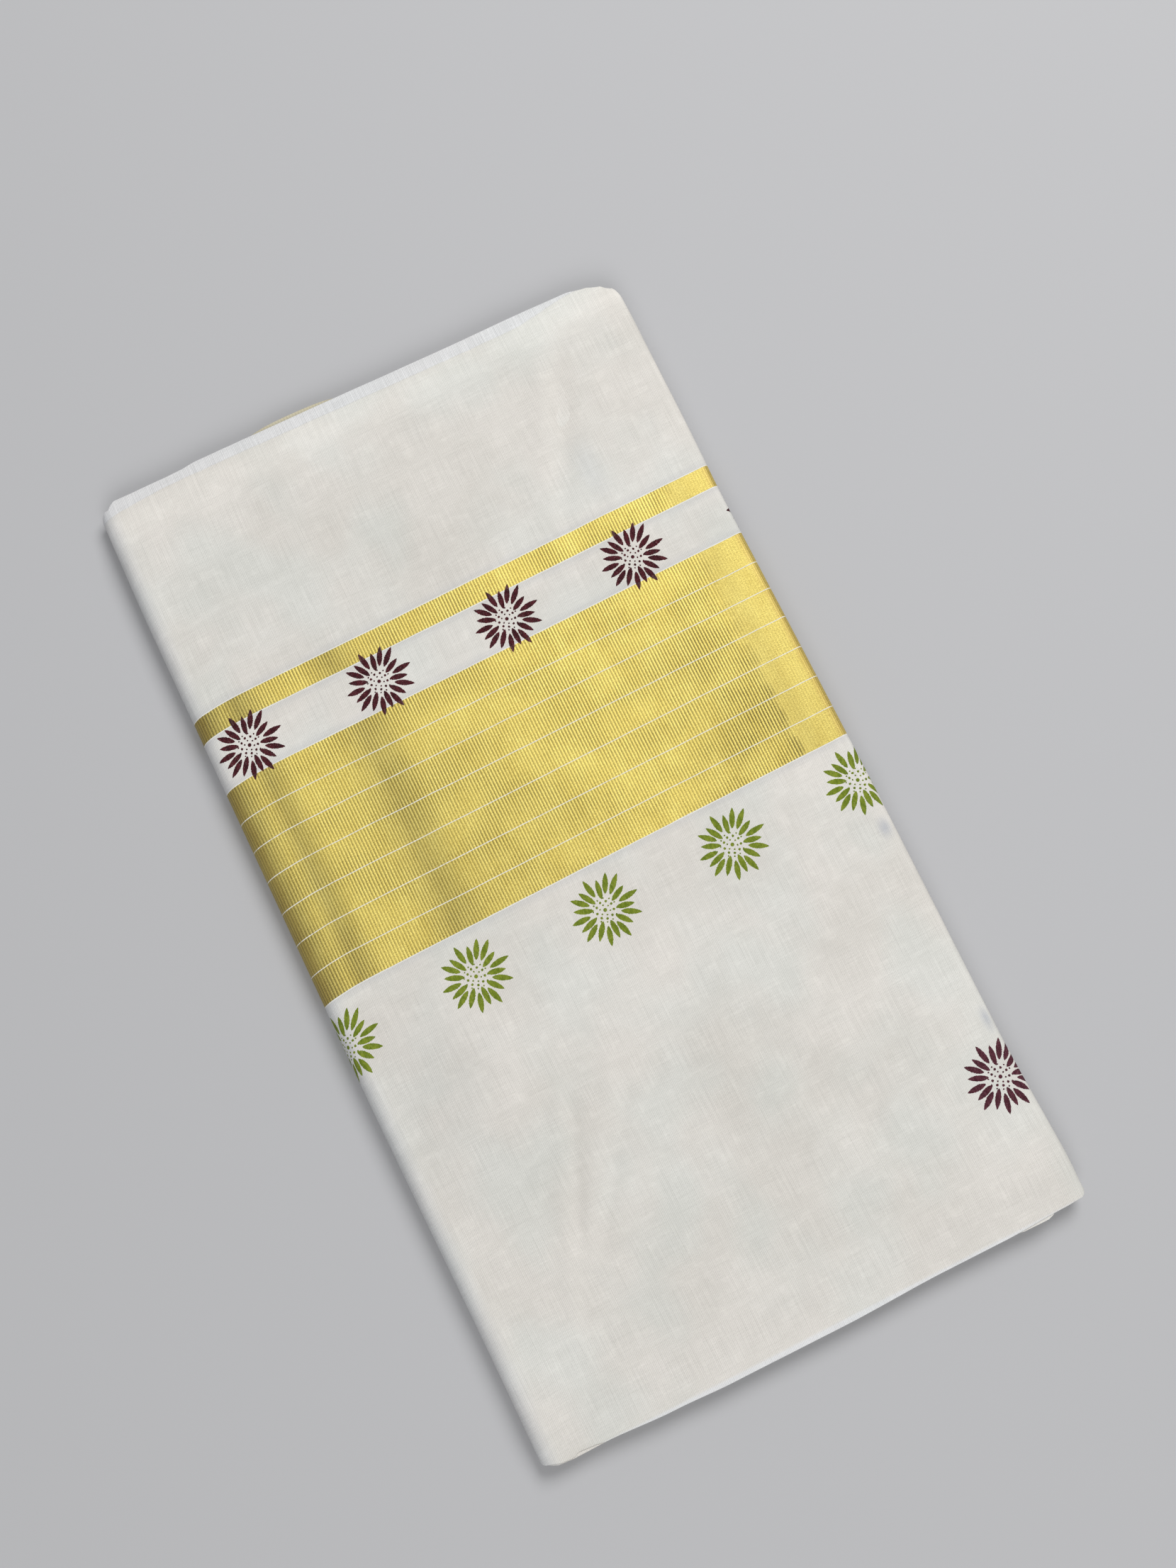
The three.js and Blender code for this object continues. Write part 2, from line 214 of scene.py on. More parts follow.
def on_path(s, depth):
    """The outer ply's path round the pack at a depth inside it, as (x, z)."""
    if s < -SPINE_RUN:
        return SPINE_X - SPINE_RUN - s, depth
    if s < 0:
        turn = math.pi * (1 + s / SPINE_RUN)
        r = SPINE_RADIUS - depth
        return SPINE_X - r * math.sin(turn), SPINE_RADIUS - r * math.cos(turn)
    if s < TOP_RUN:
        return SPINE_X + s, THICK - depth
    if s < TOP_RUN + TURN_RUN:
        turn = math.pi * (s - TOP_RUN) / TURN_RUN
        r = max(LEAST_RADIUS, TURN_RADIUS - depth)
        return TURN_X + r * math.sin(turn), THICK - TURN_RADIUS + r * math.cos(turn)
    return TURN_X - (s - TOP_RUN - TURN_RUN), THICK / 2 + depth


def woven_line(base):
    """A line woven across the cloth, as its height along the pack at each s."""
    return lambda s: base + BAND_SLOPE * s - SPINE_DROOP * hump(s + SPINE_RUN / 2, DROOP_WIDTH)


def ragged(s):
    """The corner of a fold on the spine, where the threads have pulled a little."""
    return 0.9 * hump(s + 4, 13) * noise.noise(Vector((s / 1.7, 3.3, 0)))


def plain_end(s):
    return LENGTH / 2 - along(PLAIN_END, s) - ragged(s)


def flower_end(s):
    return -LENGTH / 2 + along(FLOWER_END, s)


def spaced(stops, steps):
    """Stations through the stops, each stretch cut into steps no longer than given."""
    stations = [stops[0]]
    for a, b, step in zip(stops, stops[1:], steps):
        count = max(1, math.ceil(abs(b - a) / step))
        stations += [a + (b - a) * (i + 1) / count for i in range(count)]
    return stations


def cloth(name, across, down, place, woven):
    """A flat cut of cloth, folded: a grid whose every point place(s, t) puts in the pack.

    Its UV map "cloth" keeps each point's place on the flat cloth, in metres, from woven(s, t)."""
    bm = bmesh.new()
    bmesh.ops.create_grid(bm, x_segments=len(across) - 1, y_segments=len(down) - 1, size=1)
    columns, rows = len(across) - 1, len(down) - 1
    flat = {}
    for vert in bm.verts:
        i, j = round((vert.co.x + 1) / 2 * columns), round((vert.co.y + 1) / 2 * rows)
        flat[vert] = (across[i], down[j])
    uv = bm.loops.layers.uv.new("cloth")
    for face in bm.faces:
        face.smooth = True
        for loop in face.loops:
            s, t = flat[loop.vert]
            loop[uv].uv = Vector(woven(s, t)) * MM
    for vert, (s, t) in flat.items():
        vert.co = place(s, t)
    for edge in bm.edges:
        edge.smooth = not edge.is_boundary
    mesh = bpy.data.meshes.new(name)
    bm.to_mesh(mesh)
    bm.free()
    piece = bpy.data.objects.new(name, mesh)
    bpy.context.collection.objects.link(piece)
    return piece


# How the cloth turns over at a ply's end: round the outside of a fold, and round the inside of one
WIDE_NOSE = (PLY_PITCH + CLOTH) / 2
TIGHT_NOSE = (PLY_PITCH - CLOTH) / 2
NOSE_STEPS = 6
NOSE_RUN = math.pi * WIDE_NOSE
RETURN_RUN = 14  # how far the outer ply runs back under its end fold

# The grid's longest steps along the outer ply: in the field, near an end fold, and turned under it
FIELD_STEP, END_STEP, RETURN_STEP = 2.4, 1.6, 4
END_ZONE = 24  # how far from the fold the finer steps begin

# The deeper plies, which show only at the ends: how far their folds stand in from each end
FIRST_DEEP_PLY = 2
DEEP_PLY_LENGTH = 509
PLAIN_FOLDS = (7.0, 8.4, 7.6, 9.4, 8.0)
FLOWER_FOLDS = (2.9, 1.2, 3.4, 2.1, 4.2, 2.6)
OPEN_CORNER_X = 118  # from here to the open side the folds draw back
INNER_BEND = 3.6  # where the cloth turns back in the middle of the pack, inside the spine
INNER_BEND_S = 2 * TOP_RUN + TURN_RUN
DEEP_SELVEDGE_S = INNER_BEND_S + INNER_BEND + UNDER_RUN
SELVEDGE_ZONE = 16  # how near a selvedge the plies lie unevenly over each other
NEAR_SHARES = (0, 0.003, 0.009, 0.018, 0.032, 0.055)  # of a ply's length, close to its fold
MIDDLE_ROWS = 9

# The gold edge that peeps out of the plain end, and the deeper ply that it belongs to
GOLD_PLY = 6
GOLD_EDGE_LEFT, GOLD_EDGE_RIGHT = -66, -4
GOLD_EDGE_V = BROAD_TOP - 30  # its place on the cloth, where the edge begins
GOLD_EDGE_BACK = 21  # how far in from the pack's end it begins
GOLD_EDGE_RUN = 22  # from there to its fold
GOLD_EDGE_FLAP = 8  # turned under the fold
GOLD_EDGE_CLEAR = 0.02


def finish_cloth(piece, slot, *nodes):
    """Give the cloth its thickness, attach it to the root body, and hide the model's parts that it
    stands for.
    """
    wall = piece.modifiers.new("thickness", "SOLIDIFY")
    wall.thickness = CLOTH * MM
    wall.offset = -1
    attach(piece, "root")
    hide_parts(*nodes)


def stretch(name, low, high, slot):
    """A stretch of the outer ply between two lines across the cloth.

    Where a line is the pack's own end, the cloth folds over there and runs back underneath."""
    folds_low, folds_high = low is flower_end, high is plain_end
    span = high(0) - low(0)
    stops, steps = [0, span], [FIELD_STEP]
    if folds_high:
        stops = [0, span - END_ZONE, span, span + NOSE_RUN, span + NOSE_RUN + RETURN_RUN]
        steps = [FIELD_STEP, END_STEP, NOSE_RUN / NOSE_STEPS, RETURN_STEP]
    if folds_low:
        stops = [-NOSE_RUN - RETURN_RUN, -NOSE_RUN, 0, END_ZONE, span]
        steps = [RETURN_STEP, NOSE_RUN / NOSE_STEPS, END_STEP, FIELD_STEP]

    def place(s, t):
        bottom = low(s) + (WIDE_NOSE if folds_low else 0)
        top = high(s) - (WIDE_NOSE if folds_high else 0)
        share = min(1, max(0, t / span))
        past = max(t - span, -t, 0)
        turn = min(past, NOSE_RUN) / WIDE_NOSE
        reach = WIDE_NOSE * math.sin(turn) - max(0, past - NOSE_RUN)
        y = bottom + (top - bottom) * share + (reach if t > span else -reach)
        x, z = on_path(s, WIDE_NOSE * (1 - math.cos(turn)))
        return settled(x, y, z)

    def woven(s, t):
        share = min(1, max(0, t / span))
        past = max(t - span, 0) + min(t, 0)
        return s, low(s) + (high(s) - low(s)) * share + past - woven_line(0)(s)

    piece = cloth(name + "_cloth", spaced(ROUND_STOPS, ROUND_STEPS), spaced(stops, steps), place, woven)
    finish_cloth(piece, slot, name)
    length = span + (RETURN_RUN if folds_low or folds_high else 0)
    size = ((TUCK_S - SELVEDGE_S) * MM, length * MM)
    return piece


def deep_path(s, depth):
    """A deeper ply's path: the outer ply's own, then on through the middle of the pack, round
    inside the spine, and back to the second selvedge on the right."""
    back = s - INNER_BEND_S
    if back < 0:
        return on_path(s, depth)
    if back < INNER_BEND:
        turn = math.pi * back / INNER_BEND
        return SPINE_X - depth * math.sin(turn), THICK / 2 + depth * math.cos(turn)
    return SPINE_X + back - INNER_BEND, THICK / 2 - depth


def fold_lines(s, x, layer):
    """Where a deeper ply's folds lie along the pack, at its flower end and its plain end."""
    pair, odd_pair = (layer - FIRST_DEEP_PLY) // 2, (layer - 1) // 2
    right = max(0, x - OPEN_CORNER_X) / (WIDTH / 2 - OPEN_CORNER_X)
    left = max(0, SPINE_X + 4 - x) / (SPINE_RADIUS + 4)
    plain = PLAIN_FOLDS[pair] - 4.4 * come_forward(x)
    plain += 0.9 * noise.noise(Vector((x / 40, s / 300, pair * 5.3)))
    plain += 20 * right ** 2.4 + (3.4 + 0.5 * pair) * left ** 2
    flower = FLOWER_FOLDS[odd_pair]
    flower += 0.8 * noise.noise(Vector((x / 33, s / 300, 40 + odd_pair * 5.3)))
    flower += 7 * right ** 4 + (5.4 - 0.6 * odd_pair) * left ** 2
    if pair == 2 and 0 < s < TOP_RUN:
        plain += 13 * smooth((x - GOLD_EDGE_LEFT + 6) / 5) * smooth((GOLD_EDGE_RIGHT + 6 - x) / 5)
    if odd_pair == 0 and 0 < s < TOP_RUN:
        flower -= 3.4 * smooth((x - 95) / 10) * smooth((132 - x) / 10)
    return flower - LENGTH / 2 + WIDE_NOSE, LENGTH / 2 - plain - WIDE_NOSE


def folded_plies():
    """All the rest of the cloth, in one length: zig-zag plies that follow the four folds across."""
    columns = spaced(
        (SELVEDGE_S, SELVEDGE_S + SELVEDGE_ZONE, -SPINE_RUN, 0, TOP_RUN - 24, TOP_RUN,
         TOP_RUN + TURN_RUN, INNER_BEND_S, INNER_BEND_S + INNER_BEND,
         DEEP_SELVEDGE_S - SELVEDGE_ZONE, DEEP_SELVEDGE_S),
        (2.7, 16, 2.9, 8, 2.7, 1.5, 15, 0.7, 16, 2.7),
    )
    last = NEAR_SHARES[-1]
    middle = [last + (1 - 2 * last) * i / MIDDLE_ROWS for i in range(1, MIDDLE_ROWS)]
    shares = [*NEAR_SHARES, *middle, *(1 - share for share in reversed(NEAR_SHARES))]

    # Each row of the cloth is its ply, its share of the way up the pack, its turn round the fold
    # and its place along the cloth
    rows, run = [], 0
    for layer in range(FIRST_DEEP_PLY, PLIES):
        upward = layer % 2 == 0
        for share in shares if upward else reversed(shares):
            woven = share if upward else 1 - share
            rows.append((layer, share, 0, run + woven * DEEP_PLY_LENGTH))
        run += DEEP_PLY_LENGTH
        if layer < PLIES - 1:
            rows += [(layer, share, math.pi * i / NOSE_STEPS, run) for i in range(1, NOSE_STEPS)]

    def place(s, row):
        layer, share, turn, _ = row
        upward = layer % 2 == 0
        nose = WIDE_NOSE if upward else TIGHT_NOSE
        depth = PLY_PITCH * layer + TIGHT_NOSE + (0 if upward else CLOTH)
        depth += nose * (1 - math.cos(turn))
        x, z = deep_path(s, depth)
        low, high = fold_lines(s, x, layer)
        y = low + (high - low) * share + nose * math.sin(turn) * (1 if upward else -1)
        selvedge = smooth(1 - (s - SELVEDGE_S) / SELVEDGE_ZONE)
        selvedge += smooth(1 - (DEEP_SELVEDGE_S - s) / SELVEDGE_ZONE)
        x -= selvedge * (1.4 + 1.5 * noise.noise(Vector((y / 60, layer * 3.7, s / 200))))
        near_end = smooth((abs(y) - LENGTH / 2 + 44) / 20)
        return settled(x, y, z, near_end, near_end - 1)

    piece = cloth("folded_plies", columns, rows, place, lambda s, row: (s, row[3]))
    finish_cloth(piece, "ribbed_cotton", "folded_core")
    size = ((DEEP_SELVEDGE_S - SELVEDGE_S) * MM, run * MM)
    return piece


def gold_edge():
    """The gold edge of a deeper ply, folded over and standing a little past the plain end."""
    depth = PLY_PITCH * GOLD_PLY + TIGHT_NOSE + GOLD_EDGE_CLEAR
    root = LENGTH / 2 - GOLD_EDGE_BACK
    middle = (GOLD_EDGE_LEFT + GOLD_EDGE_RIGHT) / 2
    fold = GOLD_EDGE_RUN + NOSE_RUN

    def place(x, t):
        across = (x - middle) / (GOLD_EDGE_RIGHT - middle)
        tip = LENGTH / 2 + 2.1 - 1.2 * across ** 2 - 3.4 * across ** 4 - WIDE_NOSE
        past = max(0, t - GOLD_EDGE_RUN)
        turn = min(past, NOSE_RUN) / WIDE_NOSE
        reach = WIDE_NOSE * math.sin(turn) - max(0, past - NOSE_RUN)
        y = root + (tip - root) * min(1, t / GOLD_EDGE_RUN) + reach
        return settled(x, y, THICK - depth - WIDE_NOSE * (1 - math.cos(turn)))

    def woven(x, t):
        return x - SPINE_X, GOLD_EDGE_V + t

    columns = spaced((GOLD_EDGE_LEFT, GOLD_EDGE_RIGHT), (1.6,))
    rows = spaced((0, GOLD_EDGE_RUN, fold, fold + GOLD_EDGE_FLAP), (2, NOSE_RUN / NOSE_STEPS, 2))
    piece = cloth("folded_gold_edge", columns, rows, place, woven)
    finish_cloth(piece, "gold_zari", "tucked_zari")
    size = ((GOLD_EDGE_RIGHT - GOLD_EDGE_LEFT) * MM, rows[-1] * MM)
    return piece


class Value:
    """A value or colour in a material's nodes. Python's signs on it add the Math nodes."""

    def __init__(self, tree, socket=None):
        self.tree = tree
        self.socket = socket

    def node(self, kind, settings=None, inputs=None, out=0):
        """Any node: its settings are set first, then the values or links of its sockets."""
        added = self.tree.nodes.new("ShaderNode" + kind)
        for name, setting in (settings or {}).items():
            if name == "stops":
                ramp = added.color_ramp
                for position, colour in setting[1:-1]:
                    ramp.elements.new(position).color = (*colour, 1)
                for element, (position, colour) in ((0, setting[0]), (-1, setting[-1])):
                    ramp.elements[element].position = position
                    ramp.elements[element].color = (*colour, 1)
            else:
                setattr(added, name, setting)
        for name, given in (inputs or {}).items():
            if isinstance(given, Value):
                self.tree.links.new(given.socket, added.inputs[name])
            else:
                added.inputs[name].default_value = given
        return Value(self.tree, added.outputs[out] if len(added.outputs) else None)

    def math(self, operation, *terms):
        return self.node("Math", {"operation": operation}, dict(enumerate((self, *terms))))

    def __add__(self, other):
        return self.math("ADD", other)

    def __radd__(self, other):
        return self.math("ADD", other)

    def __sub__(self, other):
        return self.math("SUBTRACT", other)

    def __rsub__(self, other):
        return self * -1 + other

    def __mul__(self, other):
        return self.math("MULTIPLY", other)

    def __truediv__(self, other):
        return self.math("DIVIDE", other)

    def __pow__(self, other):
        return self.math("POWER", other)

    def __mod__(self, other):
        return self.math("FLOORED_MODULO", other)

    def __abs__(self):
        return self.math("ABSOLUTE")

    def clamped(self):
        return self.node("Clamp", {}, {"Value": self})

    def step(self, low, high):
        """From 0 at low to 1 at high, smoothly."""
        inputs = {"Value": self, "From Min": low, "From Max": high}
        return self.node("MapRange", {"interpolation_type": "SMOOTHSTEP"}, inputs)

    def hump(self, middle, width):
        """1 at the middle, falling smoothly to 0 at a width to each side."""
        return abs(self - middle).step(width, 0)

    def larger(self, other):
        return self.math("MAXIMUM", other)

    def colour(self, bare, covered):
        """The mix of two colours by this value."""
        inputs = {}
        for slot, given in ((0, self), (6, bare), (7, covered)):
            inputs[slot] = given if isinstance(given, Value) else (*given, 1)
        return self.node("Mix", {"data_type": "RGBA"}, inputs, out=2)

    def shaded(self, amount):
        """This colour made lighter or darker by an amount round 1."""
        grey = self.node("CombineXYZ", {}, {0: amount, 1: amount, 2: amount})
        return self.node("VectorMath", {"operation": "MULTIPLY"}, {0: self, 1: grey})

    def grain(self, other, across, down, seed=0.0, detail=2.0):
        """Noise on the flat cloth, across and down being the size of its grains in millimetres."""
        place = self.node("CombineXYZ", {}, {0: self / across, 1: other / down, 2: seed})
        return self.node("TexNoise", {}, {"Vector": place, "Scale": 1.0, "Detail": detail})


def start_cloth(name):
    """A new material, and a point's place on the flat cloth in millimetres."""
    material = bpy.data.materials.new(name)
    material.use_nodes = True
    material.node_tree.nodes.clear()
    start = Value(material.node_tree)
    place = start.node("UVMap", {"uv_map": "cloth"})
    s = start.node("SeparateXYZ", {}, {"Vector": place})
    v = Value(start.tree, s.socket.node.outputs[1])
    return material, s * 1000, v * 1000


def finish_material(colour, rough, height, metal, gloss):
    """Send the cloth's colour, roughness and fine height in millimetres to one shader."""
    bump = colour.node("Bump", {}, {"Height": height, "Distance": MM, "Strength": 1.0})
    inputs = {"Base Color": colour, "Roughness": rough, "Normal": bump, "Metallic": metal}
    constant = {"Specular IOR Level": gloss, "Sheen Weight": 0.03, "Sheen Roughness": 0.5}
    shader = colour.node("BsdfPrincipled", {}, {**inputs, **constant})
    colour.node("OutputMaterial", {}, {"Surface": shader})


# The block print: its flower is drawn at this radius, then scaled to the size of its row
STAMP_RADIUS = 18
PETAL_ROOT = 7.7
PETAL_WIDTH = 4.2
CENTRE_DOT = 1.0
DOT_RINGS = ((6, 2.5, 0.48), (9, 4.2, 0.68), (12, 5.8, 0.46))  # how many, how far out, how big
INK_EDGE = 0.12


def inked(inside):
    """Ink over a printed shape, from how far inside its edge a point lies."""
    return (inside / INK_EDGE).clamped()


def stamp(s, v, row):
    """How much ink a block-printed flower leaves: pointed petals round a patch of dots.

    The flower comes again at each pitch, and drifts a little, as a hand-held block does."""
    count = ((s - row["s"]) / row["pitch"] + 0.5).math("FLOOR")
    du = s - row["s"] - count * row["pitch"]
    dv = v - row["v"] - count * row["drift"]
    r = (du * du + dv * dv).math("SQRT") * (STAMP_RADIUS / row["size"])
    angle = dv.math("ARCTAN2", du)
    uneven = (s.grain(v, 0.6, 0.6, seed=16.0, detail=1) - 0.5) * 0.7

    place = ((angle - STAMP_TURN) * (PETALS / math.tau) + (0.5 + PETALS)) % PETALS
    petal = place.math("FLOOR")
    short = petal % 2
    inner = PETAL_ROOT - short * 2.3
    outer = STAMP_RADIUS - short * 3.0 + (petal * 2.9).math("SINE") * 0.5
    share = ((r - inner) / (outer - inner)).clamped()
    half = share ** 0.7 * (1 - share) ** 0.82 * PETAL_WIDTH
    half = half + uneven * (share * (1 - share) * 8).clamped()
    leaning = (petal * 1.7).math("SINE") * 0.08
    aside = (place - petal - 0.5 + leaning) * (math.tau / PETALS) * r
    ink = inked(half - abs(aside))

    ink = ink.larger(inked(CENTRE_DOT - r))
    for dots, ring, size in DOT_RINGS:
        part = (angle * (dots / math.tau) + dots) % 1 - 0.5
        tangent = part * (math.tau / dots * ring)
        away = r - ring
        from_dot = (tangent * tangent + away * away).math("SQRT")
        ink = ink.larger(inked(uneven * 0.7 + size - from_dot))
    return ink


def printed(colour, s, v, rows, weave):
    """Print the rows of flowers over a cloth's colour, with bare threads that peep through."""
    for row, dark, light_ink in rows:
        patchy = s.grain(v, 1.1, 2.2, seed=row["s"], detail=3)
        peeks = s.grain(v, 0.5, 0.32, seed=row["s"] + 1, detail=2).step(0.62, 0.76)
        ink = stamp(s, v, row) * (1 - weave * 0.02 - peeks * 0.25)
        tone = patchy.step(0.3, 0.75).colour(dark, light_ink)
        colour = ink.colour(colour, tone)
    return colour


# Inks, each from where it lies thick to where it lies thin
MAROON = ((0.030, 0.0015, 0.005), (0.085, 0.009, 0.016))
FADED_MAROON = ((0.052, 0.008, 0.016), (0.110, 0.026, 0.042))
GREEN = ((0.123, 0.175, 0.008), (0.227, 0.281, 0.025))

# Cotton, from its cool to its warm patches, in its darker and its lighter clouds
DARK_COTTON = ((0.650, 0.650, 0.603), (0.670, 0.643, 0.592))
LIGHT_COTTON = ((0.752, 0.745, 0.700), (0.770, 0.738, 0.688))
# Painted cool shade where the cotton turns round the spine
SPINE_SHADE_COTTON = (0.62, 0.645, 0.69)
# Painted light through the lone outer ply near the plain end, paler and cooler
LIT_THROUGH_COTTON = (0.725, 0.735, 0.758)
# Painted highlight on the rim where the cloth rounds over at the flower end
RIM_HIGHLIGHT_COTTON = (0.80, 0.83, 0.88)
# Painted cool shade on the cotton beside a gold band
SHADE_BY_GOLD = (0.50, 0.505, 0.52)
HEM_THREAD = (0.82, 0.815, 0.79)
SLUB_COTTON = (0.80, 0.795, 0.775)
SPECK_COLOUR = (0.36, 0.33, 0.28)
BLUISH_MARK_COLOUR = (0.36, 0.39, 0.47)

# Faint darker bluish marks on the cotton: place and height on the cloth, half sizes, strength
BLUISH_MARKS = ((277, -66, 5, 8, 0.50), (279, -171, 4, 9, 0.45), (227, 164, 10, 26, 0.13))

# Gold thread, from its dark to its bright flecks, with painted shade where it turns away over an edge,
# and where it lies under cotton
DARK_GOLD = (0.62, 0.475, 0.095)
BRIGHT_GOLD = (0.83, 0.69, 0.19)
LIMB_SHADE_GOLD = (0.30, 0.145, 0.035)
SPINE_SHADE_GOLD = (0.36, 0.24, 0.07)
VEILED_GOLD = (0.56, 0.53, 0.43)
WHITE_PICK = (0.84, 0.83, 0.76)

# How the gold's painted sheen and painted shade change, in shares of the way from the spine to the
# right side
SHEEN = (
    (0.0, 0.56), (0.03, 0.90), (0.055, 0.64), (0.10, 0.98), (0.18, 0.98), (0.24, 0.67), (0.30, 0.90),
    (0.6, 1.0), (0.80, 0.97), (0.87, 0.99), (0.912, 0.96), (0.925, 0.80), (0.95, 0.77), (0.97, 0.84),
    (1.0, 0.87),
)
SMOOTHED_X = 119.5  # right of here the gold is pressed smooth


def clouded(s, v, patch):
    """The cotton's colour in its soft clouds, duller in the middle, with painted cool shade round the
    spine.
    """
    cloud = s.grain(v, 46, 60, seed=8.0, detail=1)
    middle = s.hump(TOP_RUN / 2, TOP_RUN * 0.56) * v.hump(190, 78).larger(v.hump(-155, 120))
    shade = cloud.step(0.3, 0.7) * 0.52 + patch.step(0.3, 0.7) * 0.26 + 0.29 - middle * 0.30
    warm = s.grain(v, 42, 56, seed=21.0, detail=1.5).step(0.32, 0.62)
    colour = shade.clamped().colour(warm.colour(*DARK_COTTON), warm.colour(*LIGHT_COTTON))
    # painted cool shade on the spine's turn
    return (s.step(4, -8) * 0.5).colour(colour, SPINE_SHADE_COTTON)


def cotton(name, rows=(), hems=(), thin=False):
    """Fine unbleached cotton: a ribbed weave, soft clouding, slubs, and printed flowers.

    The hems are where gold begins: a line of white thread, and painted cool shade on the cloth beside
    it.
    Near a thin end the outer ply alone covers the fold: more ribbed, and paler and cooler with painted
    light through it."""
    material, s, v = start_cloth(name)
    waver = s.grain(v, 30, 60, seed=2.0) - 0.5
    ribs = ((s + waver * 0.9) * (math.tau / DENT)).math("SINE") * 0.5 + 0.5
    streak = s.grain(v, 0.55, 26, seed=4.0, detail=3)
    picks = s.grain(v, 20, 0.5, seed=6.0, detail=3)
    grain = s.grain(v, 0.6, 0.7, seed=5.0, detail=2)
    patch = s.grain(v, 11, 8, seed=9.0, detail=3)
    slub = s.grain(v, 3.0, 0.45, seed=11.0, detail=1).step(0.74, 0.84)
    speck = s.grain(v, 0.9, 0.9, seed=12.0, detail=0).step(0.85, 0.92)
    worn = s.grain(v, 8, 6, seed=17.0, detail=4).step(0.52, 0.68)
    # Painted shade over a patch at the left of the body field
    painted_shade_left = s.hump(26, 40) * v.hump(-85, 80)
    # Painted light in a band across the cloth just before the plain end's fold
    painted_light_band = v.hump(244, 16)

    colour = clouded(s, v, patch)
    tone = (ribs - 0.5) * (0.13 - worn * 0.09) + (streak - 0.5) * 0.26 + (picks - 0.5) * 0.21
    tone = tone + (grain - 0.5) * 0.22 + worn * 0.04 + 0.987 - painted_shade_left * 0.09 + painted_light_band * 0.09
    if thin:
        past = v + s * BAND_SLOPE - thin_line(0)
        past = past - (s + SPINE_X).step(80, 126) * 6.2 + s.step(40, 0) * 1.8
        # Painted light through the lone outer ply past the deeper plies' ends
        over = (past + (patch - 0.5) * 1.2).step(-0.4, 0.4)
        colour = (over * 0.65).colour(colour, LIT_THROUGH_COTTON)
        # Painted shade line where the deeper plies end
        tone = tone + over * ((ribs - 0.5) * 0.05 + (streak - 0.5) * 0.3) - past.hump(0, 0.7) * 0.05
    # Painted highlight on the rim where the cloth rounds over at the flower end
    rim_highlight = (v + s * BAND_SLOPE + LENGTH / 2).step(2.2, 0.4)
    colour = (rim_highlight * 0.5).colour(colour, RIM_HIGHLIGHT_COTTON).shaded(tone)
    colour = (slub * 0.3).colour(colour, SLUB_COTTON)
    colour = (speck * 0.4).colour(colour, SPECK_COLOUR)
    for place, height, wide, tall, strength in BLUISH_MARKS:
        mark = s.hump(place, wide) * v.hump(height, tall) * (patch + 0.5) * strength
        colour = mark.clamped().colour(colour, BLUISH_MARK_COLOUR)
    for hem in hems:
        beside = abs(v - hem)
        # Painted cool shade on the cloth beside the gold
        colour = (beside.step(5.0, 0.3) * 0.3).colour(colour, SHADE_BY_GOLD)
        colour = beside.step(0.34, 0.18).colour(colour, HEM_THREAD)
    colour = printed(colour, s, v, rows, ribs)
    height = ribs * 0.035 + streak * 0.05 + picks * 0.04 + slub * 0.05 + patch * 0.03 + grain * 0.03
    finish_material(colour, 0.88 - ribs * 0.06, height, metal=0.0, gloss=0.1)
    return material


def white_picks(s, v, picks):
    """Single white picks woven across the gold, a little wavy and broken."""
    line = v + (s.grain(v, 18, 40, seed=14.0) - 0.5) * 0.5
    white = 0
    for pick in picks:
        white = inked(0.28 - abs(line - pick)).larger(white)
    broken = s.grain(v, 0.8, 30, seed=15.0).step(0.3, 0.55)
    return white * (0.5 + broken * 0.5)


